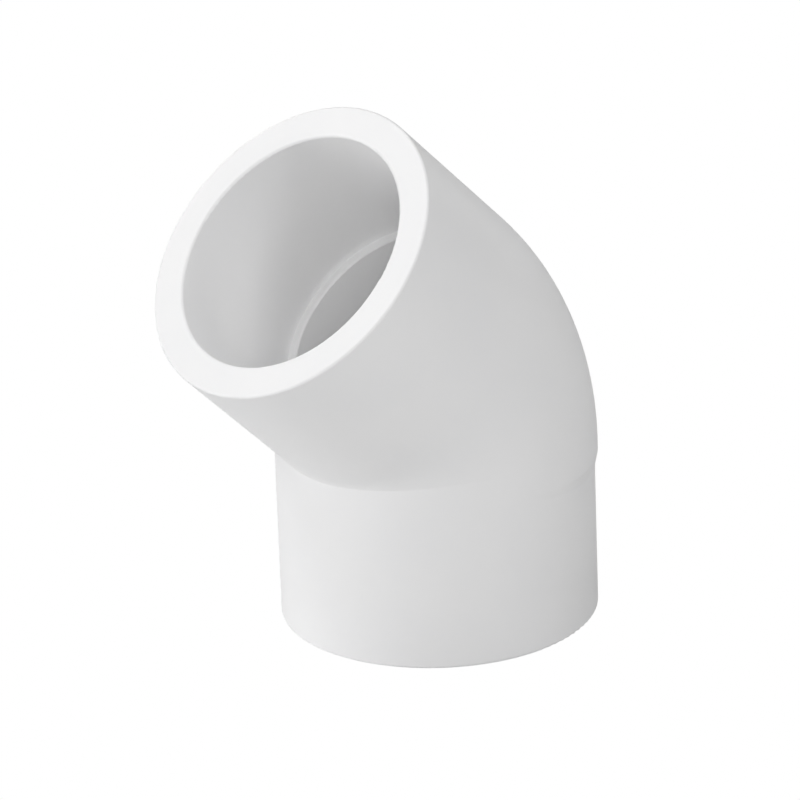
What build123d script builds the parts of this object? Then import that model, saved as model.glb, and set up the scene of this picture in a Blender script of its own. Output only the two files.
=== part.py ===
from build123d import *
from math import cos, radians, sin, tan
import os

# A 45 degree elbow for 3/4 inch Schedule 40 pipe, moulded in one piece of rigid white PVC.
# Two short hubs, each with a solvent-weld socket, leave a close bend. A pipe slides into each
# socket as far as the stop ledge, where the bore steps down to the waterway through the bend.
#
# Millimetres and degrees. The origin is the centre of the lower hub's open face and +Z runs up
# the lower hub's axis. The upper hub leans towards -X, and the XZ plane is the mirror plane.

INCH = 25.4

# Driving dimensions
bend_angle = 45.0
hub_diameter = 33.8
face_to_crossing = 26.6  # from a hub's open face to the point where the two hub axes cross
socket_diameter = 1.052 * INCH  # half way down the real socket, which tapers by 0.3 mm
socket_depth = 0.75 * INCH
waterway_diameter = 24.9

# The outside of the bend: a tube on a short arc that runs straight into the upper hub
bend_radius = 19.4  # of the tube's centre line
bend_fullness = 0.05  # how much more radius the tube and the upper hub have than the lower hub
heel_offset = 0.41  # how far the tube's lower end is shifted outwards from the lower hub's axis
heel_land = 0.7  # straight length of the tube below the arc
heel_slope = 2.2  # height over which the tube then slopes back into the lower hub
heel_sink = 0.15  # how far the foot of that slope ends up inside the lower hub
hub_overlap = 2.8  # how far the lower hub runs up inside the bend, past the crease

# Edges
rim_rounding = 0.3  # outer edge of each open face
mouth_rounding = 0.3  # inner edge of each open face
ledge_rounding = 0.25  # edge where the stop ledge meets the waterway

# Worked out from the dimensions above
hub_radius = hub_diameter / 2
socket_radius = socket_diameter / 2
waterway_radius = waterway_diameter / 2
tube_radius = hub_radius + bend_fullness
lean = radians(bend_angle)

crossing = Vector(0, 0, face_to_crossing)
upper_axis = Vector(-sin(lean), 0, cos(lean))  # points out of the upper hub
lower_face = Plane.XY
upper_face = Plane(
    origin=crossing + upper_axis * face_to_crossing,
    x_dir=(cos(lean), 0, sin(lean)),
    z_dir=-upper_axis,
)
mitre_plane = Plane(origin=crossing, z_dir=(-sin(lean / 2), 0, cos(lean / 2)))

# The arc ends on the upper hub's axis and starts heel_offset outside the lower hub's axis, so
# its centre is moved along the upper hub's axis, and both its ends with it.
centred_start = face_to_crossing - bend_radius * tan(lean / 2)
arc_start = centred_start - heel_offset / tan(lean)
upper_hub_length = centred_start + heel_offset / sin(lean)
bend_axis = Axis((heel_offset - bend_radius, 0, arc_start), (0, -1, 0))


def open_end(body, face):
    """The flat ring at one end of the elbow."""
    return body.faces().filter_by(GeomType.PLANE).sort_by_distance(face.origin)[0]


# The hollow: in each hub a socket and, past its stop ledge, a straight bore to the mitre plane
with BuildPart() as hollow:
    with BuildSketch(lower_face):
        Circle(waterway_radius)
    extrude(amount=face_to_crossing + waterway_radius)
    split(bisect_by=mitre_plane, keep=Keep.BOTTOM)
    with BuildSketch(lower_face):
        Circle(socket_radius)
    extrude(amount=socket_depth)
    mirror(about=mitre_plane)

with BuildPart() as elbow_body:
    # Lower hub
    with BuildSketch(lower_face):
        Circle(hub_radius)
    extrude(amount=arc_start + hub_overlap)

    # Upper hub
    with BuildSketch(upper_face):
        Circle(tube_radius)
    extrude(amount=upper_hub_length)

    # Bend: the tube on its arc
    with BuildSketch(lower_face.offset(arc_start)):
        with Locations((heel_offset, 0)):
            Circle(tube_radius)
    revolve(axis=bend_axis, revolution_arc=bend_angle)

    # Heel: the tube's straight lower end, then the slope back into the lower hub
    with BuildSketch(lower_face.offset(arc_start)):
        with Locations((heel_offset, 0)):
            Circle(tube_radius)
    extrude(amount=-heel_land)
    with BuildSketch(lower_face.offset(arc_start - heel_land)):
        with Locations((heel_offset, 0)):
            Circle(tube_radius)
    with BuildSketch(lower_face.offset(arc_start - heel_land - heel_slope)):
        Circle(hub_radius - heel_sink)
    loft()

    # Hollow
    add(hollow.part, mode=Mode.SUBTRACT)

    # Rounded edges
    for face in (lower_face, upper_face):
        fillet(open_end(elbow_body, face).outer_wire().edges(), radius=rim_rounding)
        fillet(open_end(elbow_body, face).inner_wires().edges(), radius=mouth_rounding)
    ledge_edges = (
        elbow_body.edges()
        .filter_by(GeomType.CIRCLE)
        .filter_by(lambda edge: abs(edge.radius - waterway_radius) < ledge_rounding)
    )
    fillet(ledge_edges, radius=ledge_rounding)

elbow_body.part.label = "elbow_body"

os.makedirs("parts", exist_ok=True)
export_step(elbow_body.part, "parts/elbow_body.step")
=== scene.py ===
import bpy
import math
from mathutils import Matrix, Vector

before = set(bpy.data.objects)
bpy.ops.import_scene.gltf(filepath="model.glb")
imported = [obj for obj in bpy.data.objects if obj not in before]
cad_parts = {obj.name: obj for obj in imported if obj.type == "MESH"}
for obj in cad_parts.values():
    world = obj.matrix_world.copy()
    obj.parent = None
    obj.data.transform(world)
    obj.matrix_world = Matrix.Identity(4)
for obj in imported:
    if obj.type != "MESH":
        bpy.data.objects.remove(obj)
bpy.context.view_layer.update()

# ---------------------------------------------------------------- driving values
# Lengths are in metres, angles in degrees and powers in watts.

# Camera: a long lens on a point inside the bend
AIM = Vector((-0.00105, 0.00407, 0.02254))
CAMERA_AZIMUTH = -41.0
CAMERA_ELEVATION = 22.15
CAMERA_DISTANCE = 0.6243
CAMERA_ROLL = -2.11
LENS_MM = 265.65
CAMERA_NEAREST = 0.01
CAMERA_FURTHEST = 50.0

# Stage: a white sweep all round, which the camera sees as pure white, and a matt white table top
# just below the rim, which the camera doesn't see but which throws light back up at the fitting
SWEEP_RADIUS = 4.0
SWEEP_BEND = 1.0  # radius of the curve between the floor and the wall
SWEEP_HEIGHT = 3.0
SWEEP_GLOW = 1.0
CIRCLE_STEPS = 72  # straight sides in each circle of the sweep and the table
BEND_STEP = 10  # degrees from one ring of the sweep's bend to the next
TABLE_RADIUS = 3.0
TABLE_DROP = 0.00001  # how far the table top lies below the rim; the sweep lies half as far below it
TABLE_WHITE = 0.79

# Softboxes: name, azimuth and elevation they shine from, width, height and power. Azimuth 0 is at -Y.
LIGHT_CENTRE = Vector((0, 0, 0.025))
LIGHT_DISTANCE = 1.4
SOFTBOXES = [
    ("left_wide_box", -130, 9, 0.9, 0.4, 8.2),
    ("front_box", -45, 27, 0.4, 0.4, 5.2),
    ("right_front_box", 0, 44, 0.4, 0.4, 3.7),
    ("top_box", -20, 76, 0.4, 0.4, 1.6),
    ("back_top_box", -155, 60, 0.4, 0.4, 5.5),
    ("right_top_box", 95, 55, 0.4, 0.4, 2.0),
    ("right_box", 100, 12, 0.4, 0.4, 1.4),
]
ROOM_LIGHT = 0.1

# PVC: three noise patterns, for its colour, its sheen and its skin, each with its scale in waves per metre
MOTTLE_SCALE = 90.0
MOTTLE_DETAIL = 3.0
MOTTLE_RANGE = (0.3, 0.7)  # the stretch of the noise over which the first colour turns into the second
MOTTLE_COLOURS = ((0.89, 0.89, 0.895, 1), (0.91, 0.908, 0.908, 1))
SHEEN_SCALE = 240.0
SHEEN_DETAIL = 4.0
SHEEN_ROUGHNESS = (0.40, 0.50)
PEEL_SCALE = 1400.0
PEEL_DETAIL = 2.0
PEEL_STRENGTH = 0.15
PEEL_DEPTH = 0.00003
PVC_SPECULAR = 0.35


def direction(azimuth, elevation):
    """Unit vector towards a viewer at that azimuth and elevation; azimuth 0 stands at -Y."""
    a = math.radians(azimuth)
    e = math.radians(elevation)
    return Vector((math.sin(a) * math.cos(e), -math.cos(a) * math.cos(e), math.sin(e)))


def add_to_scene(thing):
    bpy.context.scene.collection.objects.link(thing)
    return thing


# ---------------------------------------------------------------- camera


def add_camera():
    back = direction(CAMERA_AZIMUTH, CAMERA_ELEVATION)
    level_right = (-back).cross(Vector((0, 0, 1))).normalized()
    level_up = level_right.cross(-back)
    roll = math.radians(CAMERA_ROLL)
    right = level_right * math.cos(roll) + level_up * math.sin(roll)
    up = level_up * math.cos(roll) - level_right * math.sin(roll)
    data = bpy.data.cameras.new("camera")
    data.lens = LENS_MM
    data.clip_start = CAMERA_NEAREST
    data.clip_end = CAMERA_FURTHEST
    camera = add_to_scene(bpy.data.objects.new("camera", data))
    place = Matrix.Translation(AIM + back * CAMERA_DISTANCE)
    camera.matrix_world = place @ Matrix((right, up, back)).transposed().to_4x4()
    bpy.context.scene.camera = camera


# ---------------------------------------------------------------- materials


def new_material(name):
    material = bpy.data.materials.new(name)
    material.use_nodes = True
    material.node_tree.nodes.clear()
    return material, material.node_tree.nodes, material.node_tree.links


def noise(nodes, links, place, scale, detail):
    pattern = nodes.new("ShaderNodeTexNoise")
    pattern.inputs["Scale"].default_value = scale
    pattern.inputs["Detail"].default_value = detail
    links.new(place, pattern.inputs["Vector"])
    return pattern.outputs["Fac"]


def pvc_material():
    """Rigid white PVC as it leaves the mould: faintly mottled, satin, with a very fine orange-peel skin."""
    material, nodes, links = new_material("moulded_white_pvc")
    output = nodes.new("ShaderNodeOutputMaterial")
    shader = nodes.new("ShaderNodeBsdfPrincipled")
    links.new(shader.outputs["BSDF"], output.inputs["Surface"])
    place = nodes.new("ShaderNodeTexCoord").outputs["Object"]

    mottle = noise(nodes, links, place, MOTTLE_SCALE, MOTTLE_DETAIL)
    tint = nodes.new("ShaderNodeValToRGB")
    for stop, position, colour in zip(tint.color_ramp.elements, MOTTLE_RANGE, MOTTLE_COLOURS):
        stop.position = position
        stop.color = colour
    links.new(mottle, tint.inputs["Fac"])
    links.new(tint.outputs["Color"], shader.inputs["Base Color"])

    sheen = noise(nodes, links, place, SHEEN_SCALE, SHEEN_DETAIL)
    gloss = nodes.new("ShaderNodeMapRange")
    gloss.inputs["To Min"].default_value = SHEEN_ROUGHNESS[0]
    gloss.inputs["To Max"].default_value = SHEEN_ROUGHNESS[1]
    links.new(sheen, gloss.inputs["Value"])
    links.new(gloss.outputs["Result"], shader.inputs["Roughness"])

    peel = noise(nodes, links, place, PEEL_SCALE, PEEL_DETAIL)
    bump = nodes.new("ShaderNodeBump")
    bump.inputs["Strength"].default_value = PEEL_STRENGTH
    bump.inputs["Distance"].default_value = PEEL_DEPTH
    links.new(peel, bump.inputs["Height"])
    links.new(bump.outputs["Normal"], shader.inputs["Normal"])
    shader.inputs["Specular IOR Level"].default_value = PVC_SPECULAR
    return material


def glowing_white():
    material, nodes, links = new_material("sweep_white")
    output = nodes.new("ShaderNodeOutputMaterial")
    glow = nodes.new("ShaderNodeEmission")
    glow.inputs["Strength"].default_value = SWEEP_GLOW
    links.new(glow.outputs["Emission"], output.inputs["Surface"])
    return material


def matt_white():
    material, nodes, links = new_material("table_white")
    output = nodes.new("ShaderNodeOutputMaterial")
    matt = nodes.new("ShaderNodeBsdfDiffuse")
    matt.inputs["Color"].default_value = (TABLE_WHITE, TABLE_WHITE, TABLE_WHITE, 1)
    links.new(matt.outputs["BSDF"], output.inputs["Surface"])
    return material


# ---------------------------------------------------------------- the fitting

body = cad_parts["elbow_body"]
body.data.materials.clear()
body.data.materials.append(pvc_material())

# ---------------------------------------------------------------- stage


def turned_mesh(name, profile):
    """A surface turned about Z from a profile of (radius, height) points that starts on the axis."""
    vertices = [(0, 0, profile[0][1])]
    faces = []
    for radius, height in profile[1:]:
        for step in range(CIRCLE_STEPS):
            angle = 2 * math.pi * step / CIRCLE_STEPS
            vertices.append((radius * math.cos(angle), radius * math.sin(angle), height))
    for step in range(CIRCLE_STEPS):
        following = (step + 1) % CIRCLE_STEPS
        faces.append((0, 1 + step, 1 + following))
        for ring in range(len(profile) - 2):
            inner = 1 + ring * CIRCLE_STEPS
            outer = inner + CIRCLE_STEPS
            faces.append((inner + step, outer + step, outer + following, inner + following))
    mesh = bpy.data.meshes.new(name)
    mesh.from_pydata(vertices, [], faces)
    return mesh


def add_stage_piece(name, profile, material):
    mesh = turned_mesh(name, profile)
    mesh.materials.append(material)
    piece = add_to_scene(bpy.data.objects.new(name, mesh))
    return piece


def add_sweep():
    floor_edge = SWEEP_RADIUS - SWEEP_BEND
    profile = [(0, 0)]
    for degrees in range(0, 91, BEND_STEP):
        angle = math.radians(degrees)
        profile.append((floor_edge + SWEEP_BEND * math.sin(angle), SWEEP_BEND * (1 - math.cos(angle))))
    profile.append((SWEEP_RADIUS, SWEEP_HEIGHT))
    sweep = add_stage_piece("white_sweep", profile, glowing_white())
    sweep.location.z = -TABLE_DROP / 2
    sweep.visible_diffuse = False
    sweep.visible_glossy = False
    sweep.visible_shadow = False


def add_table():
    table = add_stage_piece("table_top", [(0, 0), (TABLE_RADIUS, 0)], matt_white())
    table.location.z = -TABLE_DROP
    table.visible_camera = False


# ---------------------------------------------------------------- light


def add_softbox(name, azimuth, elevation, width, height, power):
    data = bpy.data.lights.new(name, "AREA")
    data.shape = "RECTANGLE"
    data.size = width
    data.size_y = height
    data.energy = power
    box = add_to_scene(bpy.data.objects.new(name, data))
    towards = direction(azimuth, elevation)
    box.location = LIGHT_CENTRE + towards * LIGHT_DISTANCE
    box.rotation_mode = "QUATERNION"
    box.rotation_quaternion = towards.to_track_quat("Z", "Y")
    box.visible_camera = False


def add_room_light():
    world = bpy.data.worlds.new("room_light")
    world.use_nodes = True
    background = world.node_tree.nodes["Background"]
    background.inputs["Color"].default_value = (1, 1, 1, 1)
    background.inputs["Strength"].default_value = ROOM_LIGHT
    bpy.context.scene.world = world


add_sweep()
add_table()
add_room_light()
for row in SOFTBOXES:
    add_softbox(*row)
add_camera()
bpy.context.scene.view_settings.view_transform = "Standard"
